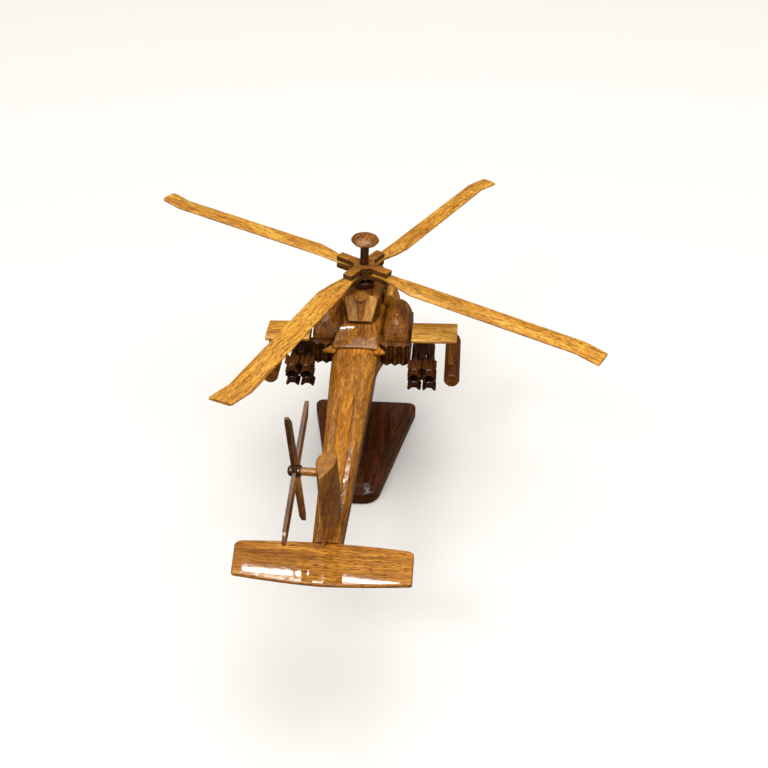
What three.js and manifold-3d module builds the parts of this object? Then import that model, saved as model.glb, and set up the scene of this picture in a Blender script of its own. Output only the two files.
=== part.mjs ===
// Wooden attack-helicopter desk model on a tapered plinth. Millimetres, +Z up, +Y to the nose, +X to starboard.
// The origin is on the underside of the plinth, straight below the main rotor hub.
import * as THREE from 'three';
import { mergeVertices } from 'three/addons/utils/BufferGeometryUtils.js';
import Module from 'manifold-3d';

const wasm = await Module();
wasm.setup();

// ---- driving dimensions -------------------------------------------------------------------------------------------
const GAP = 0.3;                    // clearance kept between touching pieces
const HUB_Z = 165;                  // main rotor hub centre above the ground
const ROTOR_R = 190;                // main rotor tip radius
const ROTOR_LEAN = 3.0;             // the mast leans this many degrees to starboard
const ARM_AZIMUTH = 61.4;           // first hub arm, degrees from +X, anticlockwise from above
const BLADE_AHEAD = 3.4;            // each blade sits this many degrees ahead of its arm
// how far each hand-cut blade is set out of square, its chord, and how far it sits forward in its slot
const BLADES = [{ set: -1.7, chord: 12.8, fore: -0.6, long: -1.6 }, { set: -0.1, chord: 15, fore: -0.9, long: 0 }, { set: 5.8, chord: 17, fore: 1.4, long: -0.6 }, { set: -1.4, chord: 16.2, fore: 0.9, long: 3.2 }];
const BLADE_T = 2.4;
const MAST_X = -0.8;                // the mast stands this far to port of the origin
const HUB_ARM = 22, HUB_ARM_W = 7.3, HUB_HALF = 4.8, SLOT_HALF = 1.3;
const MAST_R = 3.15, MAST_CAP_Z = 23.8, MAST_CAP_R = 10.3;
const PLINTH_T = 15, PLINTH_FRONT = 44, PLINTH_REAR = -76, PLINTH_WF = 43.8, PLINTH_WR = 17.9, PLINTH_X = -5.1;
const WING_TIP = 70, WING_LE = -22, WING_TE = -46.5, WING_TOP = 133, WING_T = 4.5;
const POD_X = 67, POD_Z = 102.4, POD_R = 5.75;
const RACK_X = 45.1, MISSILE_DX = 5.5, MISSILE_Z = [112.5, 101.5], MISSILE_R = 3.0;
const BOOM_FRONT = -57.4, BOOM_REAR = -241.6;
// the hand-carved centreline wanders to port behind the rotor: [y, x]
const DRIFT = [[15, 0], [-20, -1.6], [-45, -3], [-60, -2.9], [-245, -1]];
const STAB_TOP = 120, STAB_T = 4.2, STAB_X = -1.2;
const FIN_TIP_Z = 173, FIN_YAW = -7;
const TAIL_ROTOR = { x: -17.8, y: -235.4, z: 168.1, r: 44.6, yaw: -4.2, tilt: -1.7 };

// ---- materials ----------------------------------------------------------------------------------------------------
const wood = (color, roughness = 0.3) => new THREE.MeshStandardMaterial({ color, roughness, metalness: 0 });
const light = () => wood('#c18a3a', 0.32);
const gold = () => wood('#a9682a', 0.3);
const brown = () => wood('#7d4519', 0.28);
const dark = () => wood('#3d1d0e', 0.26);
const plinthWood = () => wood('#2b0f09', 0.16);

// ---- helpers ------------------------------------------------------------------------------------------------------
const rad = THREE.MathUtils.degToRad;
const V = (x, y, z) => new THREE.Vector3(x, y, z);

function closed(g) {
  g.deleteAttribute('normal');
  g.deleteAttribute('uv');
  let m = mergeVertices(g, 1e-4);
  const p = m.attributes.position, ix = m.index;
  const a = V(0, 0, 0), b = V(0, 0, 0), c = V(0, 0, 0);
  let vol = 0;
  for (let i = 0; i < ix.count; i += 3) {
    a.fromBufferAttribute(p, ix.getX(i));
    b.fromBufferAttribute(p, ix.getX(i + 1));
    c.fromBufferAttribute(p, ix.getX(i + 2));
    vol += a.dot(b.cross(c));
  }
  const out = [];
  for (let i = 0; i < ix.count; i += 3) {
    const t = [ix.getX(i), ix.getX(i + 1), ix.getX(i + 2)];
    if (t[0] === t[1] || t[1] === t[2] || t[0] === t[2]) continue;
    if (vol < 0) t.reverse();
    out.push(...t);
  }
  m.setIndex(out);
  return m;
}

// a skin over a stack of rings of equal point count, made by moving the vertices of a cylinder
function skin(rings) {
  const M = rings.length, N = rings[0].length;
  const g = new THREE.CylinderGeometry(1, 1, 1, N, M - 1, false);
  const p = g.attributes.position, v = V(0, 0, 0);
  const centre = (i) => rings[i].reduce((s, q) => s.add(q), V(0, 0, 0)).multiplyScalar(1 / N);
  for (let i = 0; i < p.count; i++) {
    v.fromBufferAttribute(p, i);
    const row = Math.round((0.5 - v.y) * (M - 1));
    const k = ((Math.round(Math.atan2(v.x, v.z) / (2 * Math.PI / N)) % N) + N) % N;
    const q = Math.hypot(v.x, v.z) < 0.5 ? centre(row) : rings[row][k];
    p.setXYZ(i, q.x, q.y, q.z);
  }
  return closed(g);
}

const drift = (y) => {
  if (y >= DRIFT[0][0]) return DRIFT[0][1];
  for (let i = 1; i < DRIFT.length; i++) if (y >= DRIFT[i][0]) {
    const [a, b] = [DRIFT[i - 1], DRIFT[i]];
    return a[1] + (y - a[0]) / (b[0] - a[0]) * (b[1] - a[1]);
  }
  return DRIFT[DRIFT.length - 1][1];
};
const toM = (g) => new wasm.Manifold(new wasm.Mesh({
  numProp: 3, vertProperties: new Float32Array(g.attributes.position.array), triVerts: new Uint32Array(g.index.array) }));
function fromM(m) {
  const k = m.getMesh(), g = new THREE.BufferGeometry();
  g.setAttribute('position', new THREE.BufferAttribute(new Float32Array(k.vertProperties), 3));
  g.setIndex(new THREE.BufferAttribute(new Uint32Array(k.triVerts), 1));
  return g;
}
const cut = (g, ...tools) => fromM(tools.reduce((m, t) => m.subtract(toM(t)), toM(g)));
const join = (g, ...more) => fromM(more.reduce((m, t) => m.add(toM(t)), toM(g)));
const moved = (g, x, y, z) => { g.translate(x, y, z); return g; };

const box = (x0, x1, y0, y1, z0, z1) =>
  closed(moved(new THREE.BoxGeometry(x1 - x0, y1 - y0, z1 - z0), (x0 + x1) / 2, (y0 + y1) / 2, (z0 + z1) / 2));
// cylinder between two points
function rod(a, b, r, n = 20, r2 = r) {
  const d = b.clone().sub(a), g = new THREE.CylinderGeometry(r2, r, d.length(), n);
  g.applyQuaternion(new THREE.Quaternion().setFromUnitVectors(V(0, 1, 0), d.clone().normalize()));
  return closed(moved(g, (a.x + b.x) / 2, (a.y + b.y) / 2, (a.z + b.z) / 2));
}
// turned piece: profile of [radius, height] pairs from axis to axis, turned about Z
function turned(profile, n = 28) {
  const g = new THREE.LatheGeometry(profile.map(([r, h]) => new THREE.Vector2(r, h)), n);
  g.rotateX(Math.PI / 2);
  return closed(g);
}
const alongY = (g) => { g.rotateX(-Math.PI / 2); return g; }; // a piece turned about Z laid along +Y
const outline = (pts) => new THREE.Shape(pts.map(([x, y]) => new THREE.Vector2(x, y)));
const extruded = (pts, depth) => closed(new THREE.ExtrudeGeometry(outline(pts), { depth, bevelEnabled: false }));

// superellipse section across Y
function oval({ y, w, zt, zb, zc, e = 3, eb = e, x0 = 0 }, n) {
  const r = [];
  for (let k = 0; k < n; k++) {
    const t = 2 * Math.PI * k / n, s = Math.sin(t), c = Math.cos(t), p = 2 / (c >= 0 ? e : eb);
    r.push(V((x0 === drift ? drift(y) : x0) + w * Math.sign(s) * Math.abs(s) ** p, y, zc + (c >= 0 ? zt - zc : zc - zb) * Math.sign(c) * Math.abs(c) ** p));
  }
  return r;
}
// loft over key sections [y, w, zt, zb, zc, e], with smooth in-between rings; grow swells it all round
function loft(keys, { n = 24, sub = 2, grow = 0, x0 = 0, eb } = {}) {
  const last = keys.length - 1, at = (i) => keys[Math.min(Math.max(i, 0), last)], rings = [];
  for (let i = 0; i <= last; i++) {
    for (let s = 0; s < (i < last ? sub : 1); s++) {
      const t = s / sub, k = at(i).map((v, j) => {
        const [a, b, c, d] = [at(i - 1)[j], v, at(i + 1)[j], at(i + 2)[j]];
        return b + 0.5 * t * (c - a + t * (2 * a - 5 * b + 4 * c - d + t * (3 * (b - c) + d - a)));
      });
      const end = (i === 0 && s === 0) || i === last;
      const y = end ? k[0] + Math.sign(k[0] - at(i === 0 ? 1 : last - 1)[0]) * grow : k[0];
      rings.push(oval({ y, w: k[1] + grow, zt: k[2] + grow, zb: k[3] - grow, zc: k[4], e: k[5], eb: eb ?? k[5], x0 }, n));
    }
  }
  return skin(rings);
}
// stack of polygons across Y, each given as [y, [[x, z], ...]]
const prism = (sections) => skin(sections.map(([y, pts]) => pts.map(([x, z]) => V(x, y, z))));

const helicopter = new THREE.Group();
helicopter.name = 'wooden_helicopter_model';
function add(name, geometry, material, parent = helicopter) {
  geometry.computeVertexNormals();
  const m = new THREE.Mesh(geometry, material);
  m.name = name;
  parent.add(m);
  return m;
}

// ---- plinth and its post ------------------------------------------------------------------------------------------
// tapered outline with rounded corners, drawn in by d all round
function plinthRing(d, z) {
  const f = PLINTH_FRONT - d, b = PLINTH_REAR + d;
  const slope = (PLINTH_WF - PLINTH_WR) / (PLINTH_FRONT - PLINTH_REAR), k = Math.hypot(1, slope);
  const wf = PLINTH_WF - slope * (PLINTH_FRONT - f) - d * k, wb = PLINTH_WR + slope * (b - PLINTH_REAR) - d * k;
  const corners = [[wf, f, Math.max(6 - d * 0.5, 1.5)], [wb, b, Math.max(13 - d, 3)], [-wb, b, Math.max(13 - d, 3)], [-wf, f, Math.max(6 - d * 0.5, 1.5)]];
  const out = [];
  corners.forEach(([x, y, r], i) => {
    const [px, py] = corners[(i + 3) % 4], [nx, ny] = corners[(i + 1) % 4];
    const a = new THREE.Vector2(px - x, py - y).normalize(), c = new THREE.Vector2(nx - x, ny - y).normalize();
    const half = Math.acos(a.dot(c)) / 2, run = r / Math.tan(half);
    const bis = a.clone().add(c).normalize(), o = new THREE.Vector2(x, y).addScaledVector(bis, r / Math.sin(half));
    const s = new THREE.Vector2(x, y).addScaledVector(a, run).sub(o), e = new THREE.Vector2(x, y).addScaledVector(c, run).sub(o);
    const a0 = Math.atan2(s.y, s.x);
    let a1 = Math.atan2(e.y, e.x) - a0;
    while (a1 > Math.PI) a1 -= 2 * Math.PI;
    while (a1 < -Math.PI) a1 += 2 * Math.PI;
    for (let j = 0; j <= 4; j++) out.push(V(o.x + r * Math.cos(a0 + a1 * j / 4), o.y + r * Math.sin(a0 + a1 * j / 4), z));
  });
  return out;
}
add('base_plate', skin([[0.7, 0], [0, 0.8], [0, 9.2], [0.5, 10.1], [1.6, 10.7], [3.4, 11.2], [5.2, 12.2], [6.4, 13.6], [7.2, 14.7], [7.9, PLINTH_T]]
  .map(([d, z]) => plinthRing(d, z))), plinthWood()).position.x = PLINTH_X;

// ---- fuselage -----------------------------------------------------------------------------------------------------
const FUSE = [
  [118, 5.5, 92.6, 82.5, 88, 2.4], [114.5, 8.8, 94.8, 80, 88, 2.6], [104, 12.3, 98.8, 78, 88, 3], [88, 15.2, 106.4, 77, 90, 3.2],
  [70, 17.4, 115.2, 77, 94, 3.4], [50, 18.8, 123.5, 78, 98, 3.6], [25, 19.3, 131, 78, 100, 3.8], [0, 19.3, 134.6, 81, 103, 4],
  [-27, 18.3, 133, 93, 110, 4.2], [-50, 16.9, 129, 102, 114, 4.2], [-57, 16.4, 128.6, 104, 115, 4.2]];
const fuselageGrown = () => loft(FUSE, { grow: GAP, x0: drift });
const chine = (s, d = 0) => {
  const tip = (s > 0 ? 21.8 : 23.2) + d;
  const g = extruded([[(14 - d) * s, -44 + 2 * d], [tip * s, -54.4], [(tip - 0.2) * s, -55.3 - d], [(14 - d) * s, -56.6 - d]], 1.6 + 2 * d);
  return moved(g, drift(-52), 0, 126.6 - d);
};
add('fuselage_body', join(loft(FUSE, { x0: drift }), chine(1), chine(-1)), brown());

const STRUT = [[PLINTH_T + GAP, -27, -9, 6.6], [24, -26, -10, 5.6], [45, -26, -11, 5], [66, -28, -12, 5.2], [84, -31, -9, 6.2], [104, -31, -9, 6.6]];
add('stand_strut', cut(moved(skin(STRUT.map(([z, y0, y1, w]) => {
  const r = [];
  for (let k = 0; k < 20; k++) {
    const t = 2 * Math.PI * k / 20, s = Math.sin(t), c = Math.cos(t);
    r.push(V(w * Math.sign(c) * Math.abs(c) ** 0.7, (y0 + y1) / 2 + (y1 - y0) / 2 * Math.sign(s) * Math.abs(s) ** 0.7, z));
  }
  return r;
})), PLINTH_X, 0, 0), fuselageGrown()), dark());

const canopyRing = (y, ws, wr, zs, zr) => [y, [[0, zr + 0.7], [wr, zr], [ws, zr - (zr - zs) * 0.45], [ws + 0.6, zs], [0, zs - 2], [-ws - 0.6, zs], [-ws, zr - (zr - zs) * 0.45], [-wr, zr]]];
add('canopy', cut(prism([
  canopyRing(105, 6.8, 4.2, 90, 99.4), canopyRing(95, 9.3, 5.8, 92, 110.4), canopyRing(85, 10.8, 7, 96, 118.2), canopyRing(78, 11.6, 7.4, 99, 119.4),
  canopyRing(65, 13, 8.2, 106, 129.4), canopyRing(52, 13.8, 8.8, 112, 139), canopyRing(41, 13.6, 8.8, 116, 141.2), canopyRing(35.2, 13, 8.4, 118, 141.6)]),
  fuselageGrown()), dark());

const CHEEK = [[100, 3.6, 90.5, 83.5, 87, 3], [94, 5.6, 93.6, 82, 87.5, 3.4], [78, 6.6, 99, 81.5, 90, 4], [55, 7, 103.5, 82, 93, 4], [30, 7, 106.5, 82.5, 95, 4], [14, 5.6, 105, 84.5, 95, 3.4], [8, 3.4, 101, 88, 95, 3]];
const cheekX = (y) => (y > 90 ? 11.2 + (100 - y) * 0.3 : y > 60 ? 14.6 : 16);
const cheek = (s) => {
  const rings = CHEEK.map(([y, w, zt, zb, zc, e]) => oval({ y, w, zt, zb, zc, e, x0: s * cheekX(y) }, 20));
  return cut(skin(rings), fuselageGrown());
};
add('cheek_fairing_right', cheek(1), brown());
add('cheek_fairing_left', cheek(-1), brown());

add('nose_sensor', cut(moved(closed(new THREE.SphereGeometry(6, 16, 10)), 0, 121.2, 87.2), fuselageGrown()), dark());
add('gun_cradle', cut(join(moved(turned([[0, -5], [3, -4.4], [4.6, -2.6], [5, 0], [5, 4], [0, 4]], 20), 0, 91, 75.6),
  box(-1.9, 1.9, 88, 98, 70.1, 74.1)), fuselageGrown(), rod(V(0, 93, 72.1), V(0, 110, 72.1), 1.2 + GAP, 14)), dark());
add('gun_barrel', rod(V(0, 93.3, 72.1), V(0, 118, 72.1), 1.2, 14), dark());

// ---- rotor pylon, its light rear panel and the tapered peg on it ---------------------------------------------------
const pylonRing = (y, w, zt, crown = 1.2) => [y, [[0, zt + crown], [w * 0.55, zt + crown * 0.7], [w, zt], [w + 0.4, 122], [0, 121], [-w - 0.4, 122], [-w, zt], [-w * 0.55, zt + crown * 0.7]].map(([x, z]) => [x + drift(y), z])];
const pylonGrown = () => prism([[34.6, 9.5, 140], [27, 11.5, 146.2], [18, 12.6, 150.2], [-14.8, 12.8, 150.2], [-25.6, 8.9, 134.4]].map(([y, w, z]) => pylonRing(y, w + GAP, z + GAP)));
const PYLON = [pylonRing(34.6, 9.5, 140), pylonRing(27, 11.5, 146.2), pylonRing(18, 12.6, 150.2), pylonRing(-14.8, 12.8, 150.2), pylonRing(-25.6, 8.9, 134.4, 0.6)];
const mastHole = rod(V(MAST_X, 0, HUB_Z).add(V(Math.sin(rad(ROTOR_LEAN)), 0, Math.cos(rad(ROTOR_LEAN))).multiplyScalar(-23.5)), V(MAST_X, 0, HUB_Z), MAST_R + GAP, 24);
add('rotor_pylon', cut(prism(PYLON), fuselageGrown(), mastHole), brown());

const SLOPE = Math.atan2(150.9 - 134.8, 25.6 - 14.8);
const panelShape = [[-8.3, 0.4], [8.3, 0.4], [10.4, 9], [12, 15.8], [11.4, 17.6], [8.5, 19.0], [4, 19.8], [0, 20.1], [-4, 19.8], [-8.5, 19.0], [-11.4, 17.6], [-12, 15.8], [-10.4, 9]];
const panel = add('pylon_rear_panel', extruded(panelShape, 1.5), light());
panel.rotation.x = SLOPE;
panel.position.set(drift(-20), -25.6 - (GAP + 0.25) * Math.sin(SLOPE), 134.7 + (GAP + 0.25) * Math.cos(SLOPE));
// everything in front of the panel's outer face is taken off the peg
const panelFront = (() => {
  const g = new THREE.BoxGeometry(60, 60.8, 40);
  g.translate(0, -9.8, -20 + 1.5 + GAP);
  g.rotateX(SLOPE);
  return closed(moved(g, panel.position.x, panel.position.y, panel.position.z));
})();
const stem = skin([[1.6, 1.7, 1.5], [5, 2.2, 2.2], [11, 2.9, 3], [16, 3.5, 4]].map(([v, r, h]) => {
  const ring = [];
  for (let k = 0; k <= 10; k++) ring.push(V(r * Math.cos(Math.PI * k / 10), v, h * Math.sin(Math.PI * k / 10) ** 0.8 + 1.7));
  ring.push(V(-r, v, 0), V(r, v, 0));
  return ring;
}));
stem.applyMatrix4(new THREE.Matrix4().makeRotationX(SLOPE));
moved(stem, panel.position.x, panel.position.y, panel.position.z);
const pegHead = turned([[0, -5], [3.2, -5], [4.4, -2.8], [5.3, -0.8], [5.3, -0.2], [5, 0], [0, 0]], 28);
pegHead.rotateX(rad(8));
add('panel_peg', cut(join(moved(pegHead, drift(-20), -20, 153.7), stem), panelFront, pylonGrown()), brown());

const deckRing = (y, w, zt, zs) => [y, [[0, zt + 0.5], [w * 0.5, zt + 0.35], [w - 1.2, zt - 0.1], [w, zs], [w, 116], [0, 112], [-w, 116], [-w, zs], [-w + 1.2, zt - 0.1], [-w * 0.5, zt + 0.35]].map(([x, z]) => [x + drift(y), z])];
const DECK = (grow) => prism([deckRing(-28 + grow, 14 + grow, 133.3 + grow, 132.2), deckRing(-29.4, 14.5 + grow, 134.6 + grow, 133.4), deckRing(-33, 14.8 + grow, 134.4 + grow, 133.2),
  deckRing(-42, 15.6 + grow, 133 + grow, 131.8), deckRing(-50.5, 16.4 + grow, 131.3 + grow, 130.1), deckRing(-52.6 - grow, 16.2 + grow, 129.8 + grow, 129.2)]);
add('rear_deck', cut(DECK(0), fuselageGrown(), chine(1, GAP), chine(-1, GAP)), brown());

// ---- engine nacelles and the pleated exhaust blocks ----------------------------------------------------------------
const NACELLE = [[4.6, 6.6, 133.6, 119, 124, 2], [3.6, 8.8, 136.9, 116, 123, 2], [0.6, 10.4, 139.8, 113.6, 122, 2.05], [-4.5, 11.2, 141.6, 112, 121, 2.1],
  [-20, 11.3, 142.8, 111, 121, 2.1], [-29, 11.3, 142.8, 111, 121, 2.1], [-34.5, 11, 139.8, 111, 121, 2], [-37.4, 10.8, 133.4, 111, 120, 2.4], [-38.6, 10.4, 129.2, 111.4, 119.6, 2.8]];
const INTAKE = [[24, 2.9, 136.6, 125, 131, 2.3], [22.6, 4.1, 139, 122.6, 131, 2.4], [18, 4.7, 140.6, 120.6, 131, 2.4], [9, 4.8, 141.4, 119.6, 131, 2.4], [5.2, 4.6, 140.2, 120, 131, 2.4]];
const exhaustPlan = (s) => [[12 * s, -39.2], [19.3 * s, -46], [22.3 * s, -42.7], [25.3 * s, -45.8], [28.4 * s, -42.6], [31.4 * s, -45.4], [34.4 * s, -42.4],
  [(s > 0 ? 36.3 : 35) * s, -43.6], [(s > 0 ? 36.3 : 35) * s, 3], [12 * s, 3]];
const EX_Z0 = 110.2, EX_Z1 = 127;
for (const [side, s] of [['right', 1], ['left', -1]]) {
  const clear = moved(extruded([[8 * s, -60], [45 * s, -60], [45 * s, 3 + GAP], [8 * s, 3 + GAP]], 30), 0, 0, EX_Z1 + GAP - 30);
  const loaf = loft(NACELLE, { n: 24, sub: 1, x0: 25.7 * s, eb: 7 });
  add(`nacelle_${side}`, cut(loaf, fuselageGrown(), DECK(GAP), clear), brown());
  add(`engine_intake_${side}`, cut(loft(INTAKE, { n: 20, sub: 1, x0: s > 0 ? 17.7 : -18.6 }), fuselageGrown(), pylonGrown()), brown());
  add(`exhaust_block_${side}`, cut(moved(extruded(exhaustPlan(s), EX_Z1 - EX_Z0), 0, 0, EX_Z0), fuselageGrown(), DECK(GAP), chine(s, GAP)), dark());
}

// ---- stub wings and what hangs under them -------------------------------------------------------------------------
const wingRise = (x) => 0.75 + 0.022 * x; // the wing rises a little to starboard
const wingRing = (x, d) => {
  const r = [], c = (WING_LE + WING_TE) / 2, h = (WING_LE - WING_TE) / 2 - d;
  for (let k = 0; k < 20; k++) {
    const t = 2 * Math.PI * k / 20, s = Math.sin(t), q = Math.cos(t);
    r.push(V(x, c + h * Math.sign(q) * Math.abs(q) ** 0.62, WING_TOP + wingRise(x) - WING_T / 2 + (WING_T / 2 - d * 0.6) * Math.sign(s) * Math.abs(s) ** 0.62));
  }
  return r;
};
const missile = () => {
  const body = alongY(turned([[0, 0], [MISSILE_R - 0.5, 0], [MISSILE_R, 0.5], [MISSILE_R, 34], [2.9, 36.4], [1.9, 38.6], [0, 39.6]], 12));
  const fin = (a) => { const g = new THREE.BoxGeometry(12.6, 9.5, 1.6); g.rotateY(rad(a)); return closed(moved(g, 0, 4.95, 0)); };
  return join(body, fin(45), fin(-45));
};
for (const [side, s] of [['right', 1], ['left', -1]]) {
  add(`wing_${side}`, skin([[37.2, 0], [WING_TIP - 0.8, 0], [WING_TIP, 0.7]].map(([x, d]) => wingRing(s * x + (s < 0 && x > 60 ? 0.4 : 0), d))), light());
  // rack: a tapered block under the wing with a keel plate between the two missile columns
  const rx = s * RACK_X + (s > 0 ? 0.4 : 1);
  const rack = join(
    skin([[128.5 - GAP + wingRise(s * RACK_X - 6.6), 6.6, -43, -24], [117.6, 5.2, -40.5, -26]].map(([z, w, y0, y1]) => [V(rx - w, y0, z), V(rx - w, y1, z), V(rx + w, y1, z), V(rx + w, y0, z)])),
    box(rx - 2.1, rx + 2.1, -44, -26, 97.5, 119));
  add(`missile_rack_${side}`, rack, dark());
  let n = 0;
  for (const dz of MISSILE_Z) for (const dx of [-MISSILE_DX, MISSILE_DX]) {
    n += 1;
    const m = add(`missile_${side}_${n}`, missile(), dark());
    m.position.set(rx + dx, -56, dz);
  }
  const px = s * POD_X + (s > 0 ? 0.2 : 0.7), pt = 128.5 - GAP + wingRise(px - 3), pr = s > 0 ? -51.4 : -55.5;
  const pylonShape = closed(new THREE.ExtrudeGeometry(outline([[-44, pt], [-39, POD_Z + POD_R - 0.2], [-26, POD_Z + POD_R - 0.2], [-24, pt]]), { depth: 4, bevelEnabled: false }));
  pylonShape.applyMatrix4(new THREE.Matrix4().makeBasis(V(0, 1, 0), V(0, 0, 1), V(1, 0, 0)));
  const podClear = alongY(turned([[0, -60], [POD_R + GAP, -60], [POD_R + GAP, 20], [0, 20]], 32));
  add(`pod_pylon_${side}`, cut(moved(pylonShape, px - s - 2, 0, 0), moved(podClear, px, 0, POD_Z)), brown());
  const pod = add(`rocket_pod_${side}`, alongY(turned([[0, pr], [3.9, pr + 0.1], [5.1, pr + 0.8], [POD_R, pr + 2.6], [POD_R, 2], [5.2, 5], [3.6, 7.4], [0, 8.4]], 24)), dark());
  pod.position.set(px, 0, POD_Z);
}

// ---- landing gear -------------------------------------------------------------------------------------------------
const wheel = (r, w) => { const g = turned([[0, -w / 2 + 0.6], [r * 0.45, -w / 2 + 0.6], [r * 0.5, -w / 2], [r - 1.6, -w / 2], [r, -w / 2 + 1.6], [r, w / 2 - 1.6], [r - 1.6, w / 2], [r * 0.5, w / 2], [r * 0.45, w / 2 - 0.6], [0, w / 2 - 0.6]], 18); g.rotateY(Math.PI / 2); return g; };
for (const [side, s] of [['right', 1], ['left', -1]]) {
  const leg = join(rod(V(s * 12, 27, 94), V(s * 20.6, 40, 77.4), 2.5, 16, 2.1), rod(V(s * 18.4, 40, 77.4), V(s * 23.6, 40, 77.4), 2.3, 16));
  add(`gear_leg_${side}`, cut(leg, fuselageGrown(), ...(s > 0 ? [cheekGrown(1)] : [cheekGrown(-1)])), dark());
  add(`main_wheel_${side}`, wheel(8.2, 6), dark()).position.set(s * 27, 40, 77.4);
}
function cheekGrown(s) {
  const rings = CHEEK.map(([y, w, zt, zb, zc, e]) => oval({ y, w: w + GAP, zt: zt + GAP, zb: zb - GAP, zc, e, x0: s * cheekX(y) }, 20));
  return skin(rings);
}

// ---- tail boom, spine, stabiliser, fin -----------------------------------------------------------------------------
// [y, half width, half width of the flat top, shoulder drop, top, bottom]
const BOOM = [[BOOM_FRONT, 16.4, 12.2, 4.6, 129, 104.2], [-80, 15.6, 11.4, 4.4, 127.9, 102.6], [-126, 13.3, 9.6, 4, 125.7, 101.6], [-185, 11.1, 7.9, 3.5, 122.8, 101.8], [BOOM_REAR, 9, 6.4, 3, STAB_TOP, 103.6]];
const boomRing = ([y, w, t, drop, zt, zb]) => [y, [[0, zt], [t - 0.8, zt], [t + 0.3, zt - 0.45], [w - 0.4, zt - drop + 0.5], [w, zt - drop - 0.9], [w - 0.7, zb + 5], [w - 4.2, zb + 0.6], [w - 5.5, zb], [0, zb],
  [-w + 5.5, zb], [-w + 4.2, zb + 0.6], [-w + 0.7, zb + 5], [-w, zt - drop - 0.9], [-w + 0.4, zt - drop + 0.5], [-t - 0.3, zt - 0.45], [-t + 0.8, zt]].map(([x, z]) => [x + drift(y), z])];
const tongue = prism([[BOOM_REAR + 6, [[-6.5, 104.4], [-6.5, 114], [6.5, 114], [6.5, 104.4]]], [-258, [[-5, 108], [-5, STAB_TOP - STAB_T - GAP], [5, STAB_TOP - STAB_T - GAP], [5, 108]]]].map(([y, q]) => [y, q]));
const boomSolid = join(prism(BOOM.map(boomRing)), moved(tongue, drift(-250), 0, 0));
add('tail_boom', boomSolid, gold());

const boomTop = (y) => { for (let i = 1; i < BOOM.length; i++) if (y >= BOOM[i][0]) { const a = BOOM[i - 1], b = BOOM[i], t = (y - a[0]) / (b[0] - a[0]); return a[4] + t * (b[4] - a[4]); } return STAB_TOP; };
const spineRing = (y, w, h) => {
  const z = boomTop(y) + GAP, pts = [];
  for (let k = 0; k <= 8; k++) { const t = Math.PI * k / 8; pts.push([-w * Math.cos(t), z + h * (0.12 + 0.88 * Math.sin(t) ** 0.8)]); }
  pts.push([w, z], [0, z], [-w, z]);
  return [y, pts.map(([x, q]) => [x + drift(y), q])];
};
const FIN_Y = -233.5; // chord centre
const finRing = (z, le, te, half, grow = 0) => {
  const c = le - te, r = [], n = 11;
  const thick = (u) => half * 1.06 * Math.pow(Math.sin(Math.PI * Math.pow(u, 0.62)), 0.85) * (1 - 0.12 * u);
  const pts = [];
  for (let k = 0; k <= n; k++) { const u = k / n; pts.push([u, Math.max(thick(u), k === 0 || k === n ? 0.45 : 0.6) + grow]); }
  for (const [u, t] of pts) r.push(V(t, le + grow - u * (c + 2 * grow), z));
  for (const [u, t] of pts.slice().reverse()) r.push(V(-t, le + grow - u * (c + 2 * grow), z));
  return r;
};
const finSolid = (grow) => {
  const g = skin([finRing(STAB_TOP - 2, 22.5, -13.2, 4.6, grow), finRing(132, 20, -13.4, 5.4, grow), finRing(148, 16.5, -13.6, 5.8, grow), finRing(162, 13.2, -13.6, 5.9, grow), finRing(FIN_TIP_Z - 0.9 + grow, 11.2, -13.5, 5.8, grow), finRing(FIN_TIP_Z + grow, 10.6, -13.2, 5.3, grow)]);
  g.rotateZ(rad(FIN_YAW));
  return moved(g, drift(FIN_Y), FIN_Y, 0);
};
const spine = prism([spineRing(-104.5, 2.2, 1.2), spineRing(-107, 4, 2.4), spineRing(-112, 4.9, 3.1), spineRing(-160, 4.8, 3.4), spineRing(-205, 4.6, 3.8), spineRing(-213.5, 4.4, 3.9)]);
add('boom_spine', cut(spine, finSolid(GAP)), gold());
// underside of the fin follows the boom's top and clears the stabiliser
const finSeat = prism([[-190, [[-30, 90], [-30, boomTop(-190) + GAP], [30, boomTop(-190) + GAP], [30, 90]]], [-243, [[-30, 90], [-30, STAB_TOP + GAP], [30, STAB_TOP + GAP], [30, 90]]], [-275, [[-30, 90], [-30, STAB_TOP + GAP], [30, STAB_TOP + GAP], [30, 90]]]]);
const tailGroup = new THREE.Group();
tailGroup.position.set(TAIL_ROTOR.x, TAIL_ROTOR.y, TAIL_ROTOR.z);
tailGroup.rotation.set(0, rad(TAIL_ROTOR.tilt), rad(TAIL_ROTOR.yaw), 'ZYX');
helicopter.add(tailGroup);
const yawed = (x, y, z) => V(x, y, z).applyAxisAngle(V(0, 1, 0), rad(TAIL_ROTOR.tilt)).applyAxisAngle(V(0, 0, 1), rad(TAIL_ROTOR.yaw)).add(V(TAIL_ROTOR.x, TAIL_ROTOR.y, TAIL_ROTOR.z));
add('tail_fin', cut(finSolid(0), finSeat, rod(yawed(0, 0, 0), yawed(17, 0, 0), 2.4 + GAP, 20)), gold());

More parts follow.
